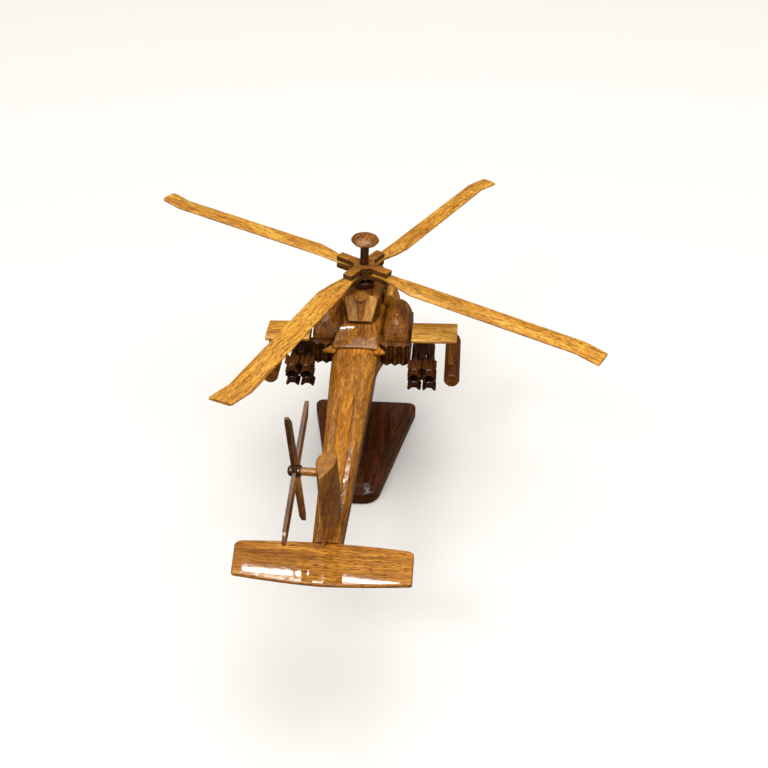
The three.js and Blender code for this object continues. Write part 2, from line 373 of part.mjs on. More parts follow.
const stabPlan = [];
for (let k = 0; k <= 10; k++) { const u = -1 + 2 * k / 10; stabPlan.push([u * (u < 0 ? 50.4 : 47.9), -242 - 2.2 * u * u]); }
for (let k = 1; k <= 5; k++) { const t = Math.PI / 2 * (1 - k / 5); stabPlan.push([47.9 + 3.6 * Math.cos(t), -244.2 - 3.6 + 3.6 * Math.sin(t) - 0.2]); }
for (let k = 0; k <= 3; k++) { const t = -Math.PI / 2 * k / 3; stabPlan.push([50.8 + 1.3 * Math.cos(t), -269.8 + 1.3 * Math.sin(t)]); }
for (let k = 1; k < 12; k++) { const u = 1 - 2 * k / 12; stabPlan.push([u * 50.2, -275.8 + 4.7 * Math.abs(u) ** 1.5]); }
for (let k = 3; k >= 0; k--) { const t = Math.PI + Math.PI / 2 * k / 3; stabPlan.push([-50.2 + 1.3 * Math.cos(t), -269.8 + 1.3 * Math.sin(t)]); }
for (let k = 5; k >= 1; k--) { const t = Math.PI / 2 + Math.PI / 2 * k / 5; stabPlan.push([-50.4 + 3.6 * Math.cos(t), -244.2 - 3.6 + 3.6 * Math.sin(t) - 0.2]); }
{
  // rings stacked in Z, drawn in at the top and bottom edges; the trailing edge is thinner
  const cy = -259.5, thin = (y, z) => (y < -264 && z < STAB_TOP - 1.6 ? z + (-264 - y) / 12 * 1.5 : z);
  const ring = (k, z) => stabPlan.map(([x, y]) => V(x * (1 - k / 50), cy + (y - cy) * (1 - k / 17), thin(y, z)));
  const stab = add('stabilizer', skin([ring(0.7, STAB_TOP - STAB_T), ring(0, STAB_TOP - STAB_T + 0.9), ring(0, STAB_TOP - 1.1), ring(0.35, STAB_TOP - 0.35), ring(1.1, STAB_TOP)]), light());
  stab.geometry.translate(0, -cy, 0).rotateZ(-1.2 * Math.PI / 180).translate(STAB_X, cy, 0);
}

// tail wheel
const boomGrown = prism(BOOM.map(([y, w, t, d, zt, zb]) => boomRing([y + (y === BOOM_FRONT ? GAP : y === BOOM_REAR ? -GAP : 0), w + GAP, t + GAP, d, zt + GAP, zb - GAP])));
add('tail_gear_leg', cut(rod(V(drift(-230), -226, 110), V(drift(-230), -234.6, 94.6), 2.1, 16), boomGrown), dark());
add('tail_wheel', wheel(4.8, 4.4), dark()).position.set(drift(-236), -236.2, 87.4);

// ---- tail rotor: a dowel in the fin carries a hub and two crossed blade strips -------------------------------------
add('tail_shaft', rod(yawed(-3.1, 0, 0), yawed(16.6, 0, 0), 2.4, 20), light());
const STRIP_T = 2.3;
// plan in the blade's own plane: u along the span, v across; both tips are cut to a point; d swells the outline
const strip = (angle, t0, t1, d = 0) => {
  const r = TAIL_ROTOR.r, c = 3.7 + d;
  const plan = [[-r + 0.3, -1.4], [-r + 5.5, -c + 0.5], [-8, -c], [8, -c], [r - 8.5, -c + 0.4], [r - 0.6, 1.2], [r - 1.4, 2.4], [r - 5.5, c - 0.5], [8, c], [-8, c], [-r + 8.5, c - 0.4], [-r + 1.4, 0]];
  const g = closed(new THREE.ExtrudeGeometry(outline(plan), { depth: t1 - t0, bevelEnabled: false }));
  g.applyMatrix4(new THREE.Matrix4().makeBasis(V(0, 1, 0), V(0, 0, 1), V(1, 0, 0)));
  g.rotateX(rad(angle));
  return moved(g, t0, 0, 0);
};
const A1 = 26.5, A2 = 97.3, H = STRIP_T / 2;
const shaftHole = (x0, x1) => rod(V(x0, 0, 0), V(x1, 0, 0), 2.4 + 0.4, 20);
// the strips are half lapped where they cross
add('tail_blades_fore_aft', cut(strip(A1, -H, H), strip(A2, -H - 1, GAP / 2, GAP), shaftHole(-12, 12)), brown(), tailGroup);
add('tail_blades_upright', cut(strip(A2, -H, H), strip(A1, -GAP / 2, H + 1, GAP), shaftHole(-12, 12)), brown(), tailGroup);
const tailCap = turned([[0, -3.2], [1.4, -3.1], [2.5, -2.6], [3.3, -1.6], [3.3, 0], [0, 0]], 20);
tailCap.rotateY(Math.PI / 2);
add('tail_hub_cap', cut(moved(tailCap, -H - GAP, 0, 0), shaftHole(-3.4, 5)), dark(), tailGroup);
const tailBoss = turned([[0, 0], [3.7, 0], [3.7, 1.2], [3.2, 1.7], [0, 1.7]], 20);
tailBoss.rotateY(Math.PI / 2);
add('tail_hub_boss', cut(moved(tailBoss, H + GAP, 0, 0), shaftHole(-5, 12)), dark(), tailGroup);

// ---- main rotor ---------------------------------------------------------------------------------------------------
const mastGroup = new THREE.Group(); // leaning frame of the mast, origin at the hub centre
mastGroup.position.set(MAST_X, 0, HUB_Z);
mastGroup.rotation.y = rad(ROTOR_LEAN);
helicopter.add(mastGroup);
add('mast_peg', rod(V(0, 0, -23.2), V(0, 0, 19.6), MAST_R, 24), dark(), mastGroup);
add('mast_collar', cut(turned([[0, -12.4], [7.6, -12.4], [7.6, -11.2], [6.6, -10.6], [0, -10.6]], 28), rod(V(0, 0, -20), V(0, 0, 5), MAST_R + GAP, 24)), dark(), mastGroup);
add('mast_cap', cut(turned([[0, -3.6], [3.6, -3.5], [6.4, -2.9], [8.8, -1.6], [MAST_CAP_R, 0.3], [9.4, 1.9], [7.4, 3.0], [4.2, 3.55], [0, 3.7]].map(([r, h]) => [r, h + MAST_CAP_Z - 0.2]), 28),
  rod(V(0, 0, 10), V(0, 0, 19.9), MAST_R + GAP, 24)), brown(), mastGroup);

const spin = new THREE.Group(); // turns on the mast
spin.rotation.z = rad(ARM_AZIMUTH);
mastGroup.add(spin);
const arms = (z0, z1) => join(box(-HUB_ARM, HUB_ARM, -HUB_ARM_W / 2, HUB_ARM_W / 2, z0, z1), box(-HUB_ARM_W / 2, HUB_ARM_W / 2, -HUB_ARM, HUB_ARM, z0, z1));
add('rotor_hub', cut(join(arms(SLOT_HALF, HUB_HALF), arms(-HUB_HALF, -SLOT_HALF), rod(V(0, 0, -HUB_HALF), V(0, 0, HUB_HALF), 8, 28)), rod(V(0, 0, -9), V(0, 0, 9), MAST_R + 0.4, 24)), gold(), spin);
const rods = [45, 135, 225, 315].map((a) => rod(V(6.9 * Math.cos(rad(a)), 6.9 * Math.sin(rad(a)), -8.2), V(6.9 * Math.cos(rad(a)), 6.9 * Math.sin(rad(a)), -HUB_HALF - GAP), 1.1, 8));
add('swash_ring', cut(join(turned([[0, -10.2], [8.6, -10.2], [9, -9.8], [9, -8.3], [8.6, -7.9], [0, -7.9]], 24), ...rods), rod(V(0, 0, -15), V(0, 0, -1), MAST_R + 0.4, 24)), dark(), spin);

// blade: straight leading edge, trailing edge drawn in at the root, tip swept back; +X out along the span, +Y forward
const LE = 3.4;
const bladePlan = ({ chord: c, fore: f, long: l }) => [
  [9.6, LE, -4.4], [20, LE + 0.1, -4.6], [34, LE + 0.1 + f * 0.6, -9], [46, LE + f, LE + f - c - 0.5], [62, LE + f, LE + f - c - 0.3], [172 + l, LE + f - 0.1, LE + f - c],
  [180 + l, LE + f - 2.1, LE + f - c - 2.2], [188.6 + l, LE + f - 4.2, LE + f - c - 4.1], [ROTOR_R + l, LE + f - 5.2, LE + f - c - 3.9]];
// flat on top, with the rear third planed down to the trailing edge
const bladeRing = ([x, le, te]) => {
  const c = le - te, t = BLADE_T / 2, q = Math.min(1, Math.max(0, (x - 34) / 12));
  return [[0.0, 0.35], [0.05, 0.9], [0.2, 1], [0.64, 1], [1, 1 - 0.85 * q]].map(([u, h]) => V(x, le - u * c, h * Math.min(t, SLOT_HALF - 0.3 + 0.5 * q)))
    .concat([[1, -0.8], [0.84, -1], [0.3, -1], [0.05, -0.85], [0, -0.35]].map(([u, h]) => V(x, le - u * c, h * Math.min(t, SLOT_HALF - 0.3 + 0.5 * q))));
};
BLADES.forEach((b, i) => {
  const arm = new THREE.Group();
  arm.rotation.z = rad(90 * i);
  spin.add(arm);
  const m = add(`main_blade_${i + 1}`, skin(bladePlan(b).map(bladeRing)), light(), arm);
  // the blade is turned about a point inside its slot
  const pivot = V(15, -0.4, 0), a = rad(BLADE_AHEAD + b.set);
  m.rotation.z = a;
  m.position.copy(pivot).sub(pivot.clone().applyAxisAngle(V(0, 0, 1), a));
});

export default helicopter;
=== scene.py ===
"""Looks for the wooden desk helicopter: lacquered hardwood on every carved piece, a pale floor, soft light and the camera."""

import math

import bpy
from mathutils import Matrix, Vector


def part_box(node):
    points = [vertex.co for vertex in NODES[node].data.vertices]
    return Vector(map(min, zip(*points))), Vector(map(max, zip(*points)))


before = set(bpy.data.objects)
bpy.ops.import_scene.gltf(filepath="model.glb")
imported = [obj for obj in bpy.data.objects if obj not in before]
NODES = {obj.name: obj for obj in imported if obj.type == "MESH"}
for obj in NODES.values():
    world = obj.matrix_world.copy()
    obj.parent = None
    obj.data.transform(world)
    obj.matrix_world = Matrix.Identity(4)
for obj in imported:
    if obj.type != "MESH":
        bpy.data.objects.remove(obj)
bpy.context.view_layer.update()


# ---------------------------------------------------------------- wood


def node(nt, kind, x=0, y=0, **inputs):
    n = nt.nodes.new(kind)
    n.location = (x, y)
    for k, v in inputs.items():
        n.inputs[k.replace("_", " ")].default_value = v
    return n


def ramp(nt, stops, x=0, y=0, mode="LINEAR"):
    n = nt.nodes.new("ShaderNodeValToRGB")
    n.location = (x, y)
    r = n.color_ramp
    r.interpolation = mode
    while len(r.elements) > len(stops):
        r.elements.remove(r.elements[-1])
    while len(r.elements) < len(stops):
        r.elements.new(1.0)
    for e, (p, c) in zip(r.elements, stops):
        e.position = p
        e.color = (*c, 1) if len(c) == 3 else c
    return n


def mix(nt, mode, x=0, y=0, clamp=True):
    n = nt.nodes.new("ShaderNodeMix")
    n.data_type = "RGBA"
    n.blend_type = mode
    n.clamp_result = clamp
    n.location = (x, y)
    return n


def grain_turn(along):
    """The Euler turn that lays the local X axis of the grain along a direction of the part."""
    q = Vector(along).normalized().to_track_quat("X", "Z")
    return q.inverted().to_euler()


def wood(name, pale, deep, fleck, along=(0, 1, 0), seed=0.0, size=1.0, flecks=0.75, figure=0.5, gloss=0.05, end_grain=False, wear=0.35, streak=0.45, wave=0.3, rim=None, side=1.0):
    """Open-pored hardwood under clear lacquer. pale and deep are the two tones of the figure, fleck the pores' colour."""
    m = bpy.data.materials.new(name)
    m.use_nodes = True
    nt = m.node_tree
    nt.nodes.clear()
    L = nt.links.new
    out = node(nt, "ShaderNodeOutputMaterial", 1500, 0)
    bsdf = node(nt, "ShaderNodeBsdfPrincipled", 1200, 0)
    bsdf.inputs["IOR"].default_value = 1.45
    bsdf.inputs["Specular IOR Level"].default_value = 0.15
    bsdf.inputs["Coat Weight"].default_value = 1.0
    bsdf.inputs["Coat Roughness"].default_value = gloss
    bsdf.inputs["Coat IOR"].default_value = 1.5
    L(bsdf.outputs[0], out.inputs[0])

    tc = node(nt, "ShaderNodeTexCoord", -1500, 0)
    mp = node(nt, "ShaderNodeMapping", -1300, 0)
    mp.inputs["Rotation"].default_value = grain_turn(along)
    mp.inputs["Location"].default_value = (seed * 0.37, seed * 0.213, seed * 0.151)
    L(tc.outputs["Object"], mp.inputs["Vector"])

    # slow wander of the fibres, so that no streak runs dead straight
    wander = node(nt, "ShaderNodeTexNoise", -1100, 300, Scale=16.0 / size, Detail=2.0, Roughness=0.5)
    L(mp.outputs[0], wander.inputs["Vector"])
    sub = node(nt, "ShaderNodeVectorMath", -900, 300)
    sub.operation = "SUBTRACT"
    sub.inputs[1].default_value = (0.5, 0.5, 0.5)
    L(wander.outputs["Color"], sub.inputs[0])
    sc = node(nt, "ShaderNodeVectorMath", -740, 300)
    sc.operation = "MULTIPLY"
    sc.inputs[1].default_value = (0.0, 0.010 * size, 0.010 * size)
    L(sub.outputs[0], sc.inputs[0])
    bent = node(nt, "ShaderNodeVectorMath", -580, 200)
    bent.operation = "ADD"
    L(mp.outputs[0], bent.inputs[0])
    L(sc.outputs[0], bent.inputs[1])

    def stretched(sx, syz, x, y):
        n = node(nt, "ShaderNodeVectorMath", x, y)
        n.operation = "MULTIPLY"
        if end_grain:
            n.inputs[1].default_value = (syz * 0.7, syz * 0.7, syz * 0.7)
        else:
            n.inputs[1].default_value = (sx, syz, syz)
        L(bent.outputs[0], n.inputs[0])
        return n

    # broad figure: bands a few millimetres wide and several centimetres long
    v1 = stretched(14 / size, 190 / size, -400, 500)
    n1 = node(nt, "ShaderNodeTexNoise", -200, 500, Scale=1.0, Detail=4.0, Roughness=0.55, Distortion=0.7)
    L(v1.outputs[0], n1.inputs["Vector"])
    r1 = ramp(nt, [(0.5 - 0.32 * (1 - figure) - 0.03, (0, 0, 0)), (0.5 + 0.30 * (1 - figure) + 0.06, (1, 1, 1))], 0, 500, "EASE")
    L(n1.outputs["Fac"], r1.inputs[0])
    # growth lines
    v2 = stretched(5 / size, 62 / size, -400, 250)
    w2 = node(nt, "ShaderNodeTexWave", -200, 250, Scale=1.9, Distortion=5.5, Detail=3.0)
    w2.inputs["Detail Scale"].default_value = 1.6
    w2.inputs["Detail Roughness"].default_value = 0.6
    w2.bands_direction = "Z"
    w2.wave_profile = "SAW"
    L(v2.outputs[0], w2.inputs["Vector"])
    # large blotches of tone
    v3 = stretched(9 / size, 34 / size, -400, 0)
    n3 = node(nt, "ShaderNodeTexNoise", -200, 0, Scale=1.0, Detail=2.0, Roughness=0.5, Distortion=0.3)
    L(v3.outputs[0], n3.inputs["Vector"])
    # fine fibres
    v4 = stretched(34 / size, 1350 / size, -400, -250)
    n4 = node(nt, "ShaderNodeTexNoise", -200, -250, Scale=1.0, Detail=2.0, Roughness=0.6)
    L(v4.outputs[0], n4.inputs["Vector"])
    # pores: short dark dashes along the grain, and a sparser, longer set
    v5 = stretched(250 / size, 1500 / size, -400, -500)
    n5 = node(nt, "ShaderNodeTexNoise", -200, -500, Scale=1.0, Detail=1.0, Roughness=0.4)
    L(v5.outputs[0], n5.inputs["Vector"])
    r5 = ramp(nt, [(0.55, (0, 0, 0)), (0.65, (1, 1, 1))], 0, -500)
    L(n5.outputs["Fac"], r5.inputs[0])
    v6 = stretched(75 / size, 760 / size, -400, -750)
    n6 = node(nt, "ShaderNodeTexNoise", -200, -750, Scale=1.0, Detail=2.0, Roughness=0.5, Distortion=0.2)
    L(v6.outputs[0], n6.inputs["Vector"])
    r6 = ramp(nt, [(0.53, (0, 0, 0)), (0.68, (1, 1, 1))], 0, -750)
    L(n6.outputs["Fac"], r6.inputs[0])

    base = mix(nt, "MIX", 250, 400)
    base.inputs[6].default_value = (*deep, 1)
    base.inputs[7].default_value = (*pale, 1)
    L(r1.outputs[0], base.inputs[0])
    rings = mix(nt, "MULTIPLY", 420, 350)
    rings.inputs[0].default_value = streak
    L(base.outputs[2], rings.inputs[6])
    r2 = ramp(nt, [(0.0, (1.08, 1.04, 1.0)), (0.7, (0.86, 0.80, 0.72)), (1.0, (0.60, 0.48, 0.36))], 100, 250)
    L(w2.outputs["Fac"], r2.inputs[0])
    L(r2.outputs[0], rings.inputs[7])
    blotch = mix(nt, "MULTIPLY", 590, 300)
    blotch.inputs[0].default_value = 1.0
    r3 = ramp(nt, [(0.30, (0.74, 0.69, 0.62)), (0.52, (1, 1, 1)), (0.74, (1.22, 1.2, 1.16))], 100, 0)
    L(n3.outputs["Fac"], r3.inputs[0])
    L(rings.outputs[2], blotch.inputs[6])
    L(r3.outputs[0], blotch.inputs[7])
    fibre = mix(nt, "MULTIPLY", 760, 250)
    fibre.inputs[0].default_value = 0.8
    r4 = ramp(nt, [(0.34, (0.44, 0.34, 0.24)), (0.50, (1, 1, 1)), (0.66, (1.28, 1.34, 1.5))], 100, -250)
    L(n4.outputs["Fac"], r4.inputs[0])
    L(blotch.outputs[2], fibre.inputs[6])
    L(r4.outputs[0], fibre.inputs[7])
    p1 = mix(nt, "MIX", 920, 200)
    a1 = node(nt, "ShaderNodeMath", 100, -500)
    a1.operation = "MULTIPLY"
    a1.inputs[1].default_value = flecks
    L(r5.outputs[0], a1.inputs[0])
    L(a1.outputs[0], p1.inputs[0])
    L(fibre.outputs[2], p1.inputs[6])
    p1.inputs[7].default_value = (*fleck, 1)
    p2 = mix(nt, "MIX", 1060, 150)
    a2 = node(nt, "ShaderNodeMath", 100, -750)
    a2.operation = "MULTIPLY"
    a2.inputs[1].default_value = flecks * 0.75
    L(r6.outputs[0], a2.inputs[0])
    L(a2.outputs[0], p2.inputs[0])
    L(p1.outputs[2], p2.inputs[6])
    p2.inputs[7].default_value = (*fleck, 1)

    # painted shade: an occlusion mask darkens the colour in corners and creases; along the edges a paler line, partly
    # rubbed wear and partly painted highlight
    # painted shade: the colour is darkened in corners and creases by this occlusion mask
    occlusion_shade = node(nt, "ShaderNodeAmbientOcclusion", 700, -200)
    occlusion_shade.samples = 6
    occlusion_shade.inputs["Distance"].default_value = 0.006
    corner_shade = mix(nt, "MULTIPLY", 1060, -100)
    corner_shade.inputs[0].default_value = 1.0
    corner_shade_ramp = ramp(nt, [(0.2, (0.42, 0.34, 0.28)), (0.75, (1, 1, 1))], 860, -200)
    L(occlusion_shade.outputs["AO"], corner_shade_ramp.inputs[0])
    L(p2.outputs[2], corner_shade.inputs[6])
    L(corner_shade_ramp.outputs[0], corner_shade.inputs[7])
    # the pale edge line is partly rubbed wear and partly painted highlight where lacquered edges catch the light
    bev = node(nt, "ShaderNodeBevel", 700, -350, Radius=0.0007)
    bev.samples = 4
    geo = node(nt, "ShaderNodeNewGeometry", 540, -420)
    dot = node(nt, "ShaderNodeVectorMath", 860, -350)
    dot.operation = "DOT_PRODUCT"
    L(bev.outputs[0], dot.inputs[0])
    L(geo.outputs["Normal"], dot.inputs[1])
    em = node(nt, "ShaderNodeMapRange", 1000, -350)
    em.inputs["From Min"].default_value = 0.998
    em.inputs["From Max"].default_value = 0.90
    em.inputs["To Max"].default_value = wear
    L(dot.outputs["Value"], em.inputs["Value"])
    wear_and_glint_mask = node(nt, "ShaderNodeMath", 1060, -450)
    wear_and_glint_mask.operation = "MULTIPLY"
    L(em.outputs[0], wear_and_glint_mask.inputs[0])
    L(r1.outputs[0], wear_and_glint_mask.inputs[1])
    wear_and_glint_mix = mix(nt, "MIX", 1130, -50)
    wear_and_glint_mix.inputs[7].default_value = (*(rim or [min(1.0, 1.5 * v + 0.01) for v in pale]), 1)
    L(wear_and_glint_mask.outputs[0], wear_and_glint_mix.inputs[0])
    if side < 1.0:
        # painted shade: faces that don't look up are darkened
        nz = node(nt, "ShaderNodeSeparateXYZ", 700, -550)
        L(geo.outputs["True Normal"], nz.inputs[0])
        side_shade_ramp = node(nt, "ShaderNodeMapRange", 860, -550)
        side_shade_ramp.inputs["From Min"].default_value = 0.5
        side_shade_ramp.inputs["From Max"].default_value = 0.9
        side_shade_ramp.inputs["To Min"].default_value = side
        L(nz.outputs["Z"], side_shade_ramp.inputs["Value"])
        side_shade_scale = node(nt, "ShaderNodeVectorMath", 1000, -550)
        side_shade_scale.operation = "SCALE"
        L(corner_shade.outputs[2], side_shade_scale.inputs[0])
        L(side_shade_ramp.outputs[0], side_shade_scale.inputs["Scale"])
        L(side_shade_scale.outputs[0], wear_and_glint_mix.inputs[6])
    else:
        L(corner_shade.outputs[2], wear_and_glint_mix.inputs[6])
    L(wear_and_glint_mix.outputs[2], bsdf.inputs["Base Color"])

    rr = node(nt, "ShaderNodeMapRange", 900, -400)
    rr.inputs["To Min"].default_value = 0.34
    rr.inputs["To Max"].default_value = 0.55
    L(n4.outputs["Fac"], rr.inputs["Value"])
    L(rr.outputs[0], bsdf.inputs["Roughness"])

    # pores show faintly through the lacquer; the lacquer itself lies a little uneven
    b1 = node(nt, "ShaderNodeBump", 900, -600, Strength=0.35, Distance=0.00012)
    b1.invert = True
    L(r5.outputs[0], b1.inputs["Height"])
    L(b1.outputs[0], bsdf.inputs["Normal"])
    soft = node(nt, "ShaderNodeTexNoise", 500, -900, Scale=75.0, Detail=2.0, Roughness=0.45)
    L(tc.outputs["Object"], soft.inputs["Vector"])
    b2 = node(nt, "ShaderNodeBump", 900, -900, Strength=wave, Distance=0.00035)
    L(soft.outputs["Fac"], b2.inputs["Height"])
    b3 = node(nt, "ShaderNodeBump", 1060, -900, Strength=0.35 * wave, Distance=0.00012)
    b3.invert = True
    L(r5.outputs[0], b3.inputs["Height"])
    L(b2.outputs[0], b3.inputs["Normal"])
    L(b3.outputs[0], bsdf.inputs["Coat Normal"])
    return m


LIGHT = dict(pale=(0.960, 0.530, 0.080), deep=(0.700, 0.300, 0.036), fleck=(0.170, 0.048, 0.006))
HONEY = dict(pale=(0.770, 0.355, 0.048), deep=(0.470, 0.185, 0.020), fleck=(0.125, 0.035, 0.005))
AMBER = dict(pale=(0.800, 0.355, 0.034), deep=(0.560, 0.215, 0.020), fleck=(0.130, 0.036, 0.005))
GOLD = dict(pale=(0.620, 0.270, 0.034), deep=(0.340, 0.130, 0.017), fleck=(0.075, 0.022, 0.004))
BOOM = dict(pale=(0.480, 0.190, 0.027), deep=(0.230, 0.082, 0.013), fleck=(0.050, 0.015, 0.003))
BROWN = dict(pale=(0.400, 0.140, 0.020), deep=(0.170, 0.050, 0.008), fleck=(0.026, 0.007, 0.003))
UMBER = dict(pale=(0.240, 0.085, 0.016), deep=(0.085, 0.027, 0.006), fleck=(0.016, 0.005, 0.002))
DARK = dict(pale=(0.110, 0.032, 0.007), deep=(0.032, 0.009, 0.003), fleck=(0.007, 0.002, 0.001))
PLINTH = dict(pale=(0.150, 0.040, 0.008), deep=(0.050, 0.014, 0.003), fleck=(0.012, 0.004, 0.001))


def turn(deg):
    return (math.sin(math.radians(deg)), math.cos(math.radians(deg)), 0)


def centre(n):
    lo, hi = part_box(n)
    return (lo + hi) / 2


mats = {}


def put(names, key, **kw):
    """Gives CAD nodes one wood; each gets its own run of grain."""
    for i, n in enumerate(names.split()):
        seed = kw.pop("seed", 1.0) + i * 0.83
        kw["seed"] = kw.get("seed", seed)
        m = wood("wood_" + n, **{**key, **{k: v for k, v in kw.items() if k != "seed"}}, seed=seed)
        kw["seed"] = seed - i * 0.83
        NODES[n].data.materials.clear()
        NODES[n].data.materials.append(m)


for k in range(1, 5):
    c = centre(f"main_blade_{k}")
    put(f"main_blade_{k}", LIGHT, along=(c.x, c.y, 0), seed=2.0 + 3.1 * k, flecks=0.8, figure=0.45)
put("stabilizer", HONEY, along=(1, -0.06, 0), seed=4.4, flecks=0.8, figure=0.4, wave=0.010, gloss=0.018)
put("wing_right wing_left", LIGHT, along=(1, 0, 0), seed=5.3, flecks=0.6)
put("pylon_rear_panel", LIGHT, along=(0.1, 1, 1.4), seed=6.1, flecks=0.5, size=0.8)
# painted highlight: the spine on the boom's top gets a paler wood than the boom below it
put("boom_spine", AMBER, along=(0, 1, -0.06), seed=7.7, flecks=0.5)
put("tail_boom", GOLD, along=(0, 1, -0.06), seed=8.8, flecks=0.55)
put("rear_deck", GOLD, along=(0, 1, 0), seed=9.1, flecks=0.8)
put("tail_fin", GOLD, along=(0, 0.45, 1), seed=9.9, flecks=0.7)
put("fuselage_body", AMBER, along=(0, 1, 0), seed=10.6, flecks=0.7)
# painted shade: the rotor pylon gets the darker BOOM wood for the shade it stands in
put("rotor_pylon", BOOM, along=(0, 1, 0), seed=11.3, flecks=0.7)
put("panel_peg", GOLD, along=(0, 1, 0.3), seed=12.2, size=0.6)
put("mast_cap", BOOM, along=(0.4, 1, 0), seed=12.9, size=0.8)
put("nacelle_right nacelle_left", BOOM, along=(0, 1, 0), seed=13.4, wave=0.5)
put("engine_intake_right engine_intake_left", LIGHT, along=(0, 1, 0), seed=14.4)
put("canopy", BOOM, along=(0, 1, -0.3), seed=15.3)
put("cheek_fairing_right cheek_fairing_left", HONEY, along=(0, 1, 0), seed=16.2)
# painted highlight: a strong gold line on every edge of the exhaust blocks; painted shade: their side faces are
# darkened
put("exhaust_block_right exhaust_block_left", UMBER, along=(0, 1, 0), seed=17.7, wear=1.0, rim=(0.75, 0.34, 0.07), side=0.55)
# painted shade: the hub's side faces are darkened
put("rotor_hub", GOLD, along=turn(61.4), seed=18.6, size=0.7, side=0.28)
put("swash_ring mast_collar mast_peg", DARK, along=(0, 0, 1), seed=19.3, size=0.7)
put("nose_sensor gun_cradle gun_barrel missile_rack_right missile_rack_left", DARK, along=(0, 1, 0), seed=20.7, size=0.7)
# painted highlight: missiles 1 and 2 get a paler wood and a gold edge line, missiles 3 and 4 the darker copy of the
# same wood
put("missile_right_1 missile_right_2 missile_left_1 missile_left_2", UMBER, along=(0, 1, 0), seed=31.1, size=0.7, rim=(0.30, 0.13, 0.03), wear=0.5)
put("missile_right_3 missile_right_4 missile_left_3 missile_left_4", DARK, along=(0, 1, 0), seed=34.4, size=0.7)
put("rocket_pod_right rocket_pod_left", BROWN, along=(0, 1, 0), seed=41.1)
put("pod_pylon_right pod_pylon_left", HONEY, along=(0, 0, 1), seed=43.0, size=0.7)
put("gear_leg_right gear_leg_left tail_gear_leg", BROWN, along=(0, 0, 1), seed=45.0, size=0.7)
put("main_wheel_right main_wheel_left tail_wheel", DARK, along=(1, 0, 0), seed=48.0, size=0.6)
put("tail_shaft", GOLD, along=(1, 0, 0), seed=51.0, size=0.6)
put("tail_blades_fore_aft tail_blades_upright", UMBER, along=(0, 0.6, 1), seed=52.0, size=0.6)
put("tail_hub_cap tail_hub_boss", DARK, along=(1, 0, 0), seed=53.0, size=0.6)
# painted highlight: a pale line on the plate's rounded edges, where they catch the light
put("base_plate", PLINTH, along=(0, 1, 0), seed=54.5, size=1.3, wear=0.8, rim=(0.26, 0.10, 0.02))
put("stand_strut", PLINTH, along=(0, 0, 1), seed=55.5)

# ---------------------------------------------------------------- edges

ROUND = {"base_plate": 0.7, "stabilizer": 0.35, "rotor_hub": 0.3, "tail_boom": 0.5, "rear_deck": 0.4, "pylon_rear_panel": 0.35, "mast_cap": 0.2, "fuselage_body": 0.12}
for n, o in NODES.items():
    me = o.data
    for a in ("custom_normal",):
        if a in me.attributes:
            me.attributes.remove(me.attributes[a])
    me.polygons.foreach_set("use_smooth", [n != "tail_hub_boss"] * len(me.polygons))
    if n == "tail_hub_boss":
        # a thin ring on its axle: its edges stay as they are, so that the bore keeps its clearance
        continue
    w = o.modifiers.new("join", "WELD")
    w.merge_threshold = 2e-6
    d = o.modifiers.new("flat", "DECIMATE")
    d.decimate_type = "DISSOLVE"
    d.angle_limit = math.radians(0.6)
    b = o.modifiers.new("round", "BEVEL")
    b.limit_method = "ANGLE"
    b.angle_limit = math.radians(33)
    b.width = ROUND.get(n, 0.25) / 1000
    b.segments = 2
    b.harden_normals = False
    b.use_clamp_overlap = True
    b.miter_outer = "MITER_ARC"
    s = o.modifiers.new("shade", "WEIGHTED_NORMAL")
    s.keep_sharp = True
    s.weight = 60

# ---------------------------------------------------------------- floor, light, camera

bpy.ops.mesh.primitive_plane_add(size=12, location=(0, 1.5, -0.0004))
floor = bpy.context.object
floor.name = "floor"
fm = bpy.data.materials.new("floor_paper")
fm.use_nodes = True
fn = fm.node_tree
fb = fn.nodes["Principled BSDF"]
fb.inputs["Base Color"].default_value = (0.92, 0.92, 0.915, 1)
fb.inputs["Roughness"].default_value = 0.9
fb.inputs["Specular IOR Level"].default_value = 0.1
ft = fn.nodes.new("ShaderNodeTexNoise")
ft.inputs["Scale"].default_value = 900
fbump = fn.nodes.new("ShaderNodeBump")
fbump.inputs["Strength"].default_value = 0.03
fn.links.new(ft.outputs["Fac"], fbump.inputs["Height"])
fn.links.new(fbump.outputs[0], fb.inputs["Normal"])
floor.data.materials.append(fm)
floor.visible_glossy = False
floor.visible_diffuse = False

world = bpy.data.worlds.new("studio")
bpy.context.scene.world = world
world.use_nodes = True
wn = world.node_tree
bg = wn.nodes["Background"]
tc = wn.nodes.new("ShaderNodeTexCoord")
sep = wn.nodes.new("ShaderNodeSeparateXYZ")
wn.links.new(tc.outputs["Generated"], sep.inputs[0])


def wmath(op, *vals, clamp=False):
    n = wn.nodes.new("ShaderNodeMath")
    n.operation = op
    n.use_clamp = clamp
    for i, v in enumerate(vals):
        if isinstance(v, (int, float)):
            n.inputs[i].default_value = v
        else:
            wn.links.new(v, n.inputs[i])
    return n.outputs[0]


def wstep(value, lo, hi):
    n = wn.nodes.new("ShaderNodeMapRange")
    n.interpolation_type = "SMOOTHSTEP"
    n.inputs["From Min"].default_value = lo
    n.inputs["From Max"].default_value = hi
    wn.links.new(value, n.inputs["Value"])
    return n.outputs[0]


